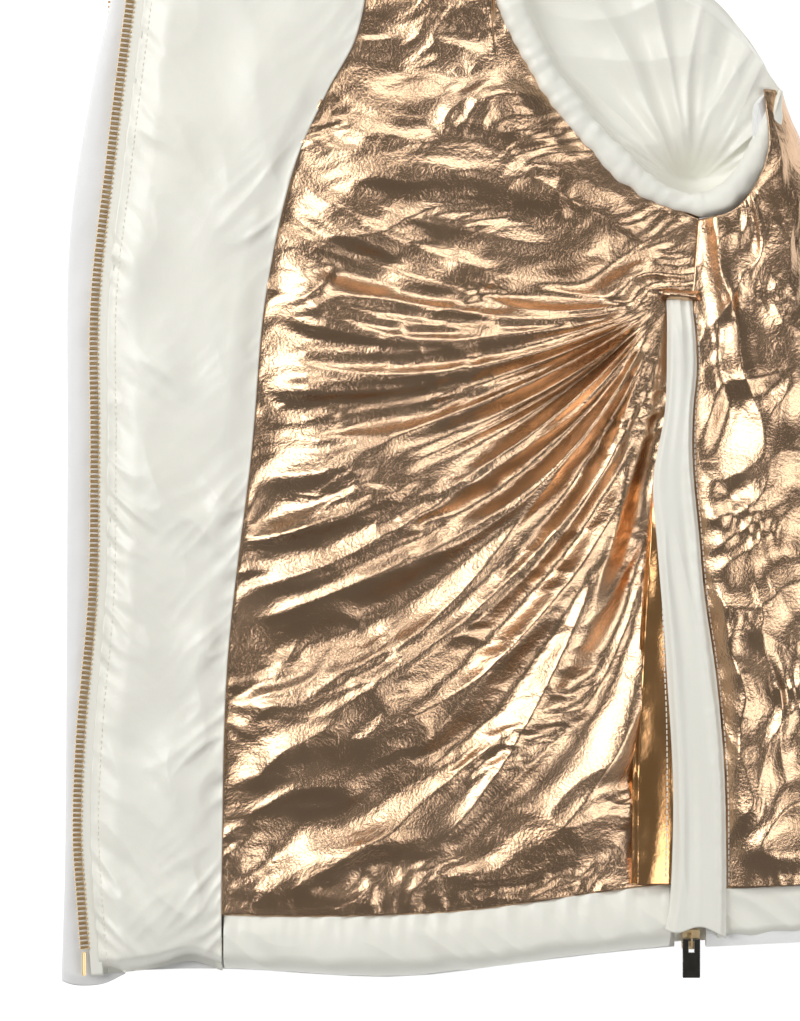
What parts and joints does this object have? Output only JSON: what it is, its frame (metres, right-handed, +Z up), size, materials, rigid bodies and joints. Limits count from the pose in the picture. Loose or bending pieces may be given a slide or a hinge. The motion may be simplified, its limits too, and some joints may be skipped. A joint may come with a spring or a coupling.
{
  "type": "padded coat",
  "caption": "Short padded coat folded in half lengthwise with a foil lining outwards, front zip, side slit with a zip under a guard strip.",
  "frame": {"origin": "middle of the folded coat's footprint, on the surface it lies on", "axes": "+Z up from the surface, +Y towards the collar, +X towards the side of the body"},
  "size_m": [0.408, 0.665, 0.0533],
  "materials": {
    "copper_lining": "metallised foil cloth, crinkled, strongly glossy",
    "cream_satin": "light cream satin-weave cloth, soft sheen",
    "white_shell": "neutral white brushed cloth, matt",
    "wadding": "loose fibre padding, matt",
    "zip_tape": "woven tape, matt",
    "gold_metal": "bright gold-coloured metal",
    "dark_metal": "dark polished metal with thin bright edges"
  },
  "bodies": {
    "coat": {"back_hem_band": "cream_satin", "back_lining": "copper_lining", "back_padding": "wadding", "back_shell": "white_shell", "collar_inner": "cream_satin", "collar_outer": "white_shell", "collar_padding": "wadding", "left_cuff": "cream_satin", "left_front_lining": "copper_lining", "left_front_padding": "wadding", "left_front_placket": "white_shell", "left_front_shell": "white_shell", "left_sleeve_lining": "cream_satin", "left_sleeve_padding": "wadding", "left_sleeve_shell": "white_shell", "left_zip_tape": "zip_tape", "left_zip_teeth": "gold_metal", "right_armhole_rim": "cream_satin", "right_cuff": "cream_satin", "right_front_facing": "cream_satin", "right_front_hem_band": "cream_satin", "right_front_lining": "copper_lining", "right_front_padding": "wadding", "right_front_shell": "white_shell", "right_sleeve_head_lining": "cream_satin", "right_sleeve_lining": "cream_satin", "right_sleeve_padding": "wadding", "right_sleeve_shell": "white_shell", "right_zip_tape": "zip_tape", "right_zip_teeth": "gold_metal", "side_zip_back_tape": "zip_tape", "side_zip_back_teeth": "gold_metal", "side_zip_front_tape": "zip_tape", "side_zip_front_teeth": "gold_metal", "side_zip_top_stop": "gold_metal", "slit_facing": "copper_lining", "zip_insertion_pin": "gold_metal", "zip_retainer_box": "gold_metal"},
    "guard": {"side_guard": "cream_satin"},
    "side_slider": {"side_slider": "gold_metal"},
    "side_pull": {"side_pull": "dark_metal"},
    "front_slider": {"front_slider": "gold_metal"},
    "front_pull": {"front_pull": "dark_metal"}
  },
  "joints": [
    {"name": "guard_fold", "type": "hinge", "parent": "coat", "child": "guard", "pos_m": [0.14, -0.30545, 0.0524], "axis": [-0.0527, 0.9986, 0], "range_deg": [0, 120]},
    {"name": "side_slide", "type": "slide", "parent": "coat", "child": "side_slider", "axis": [0, 1, 0], "range_m": [0, 0.3]},
    {"name": "side_pull_swing", "type": "hinge", "parent": "side_slider", "child": "side_pull", "pos_m": [0.119, -0.31045, 0.0488], "axis": [-1, 0, 0], "range_deg": [0, 85]},
    {"name": "front_slide", "type": "slide", "parent": "coat", "child": "front_slider", "axis": [0, 1, 0], "range_m": [-0.06, 0.45]},
    {"name": "front_pull_swing", "type": "hinge", "parent": "front_slider", "child": "front_pull", "pos_m": [-0.182, -0.25245, 0.0344], "axis": [-1, 0, 0], "range_deg": [0, 12]}
  ]
}
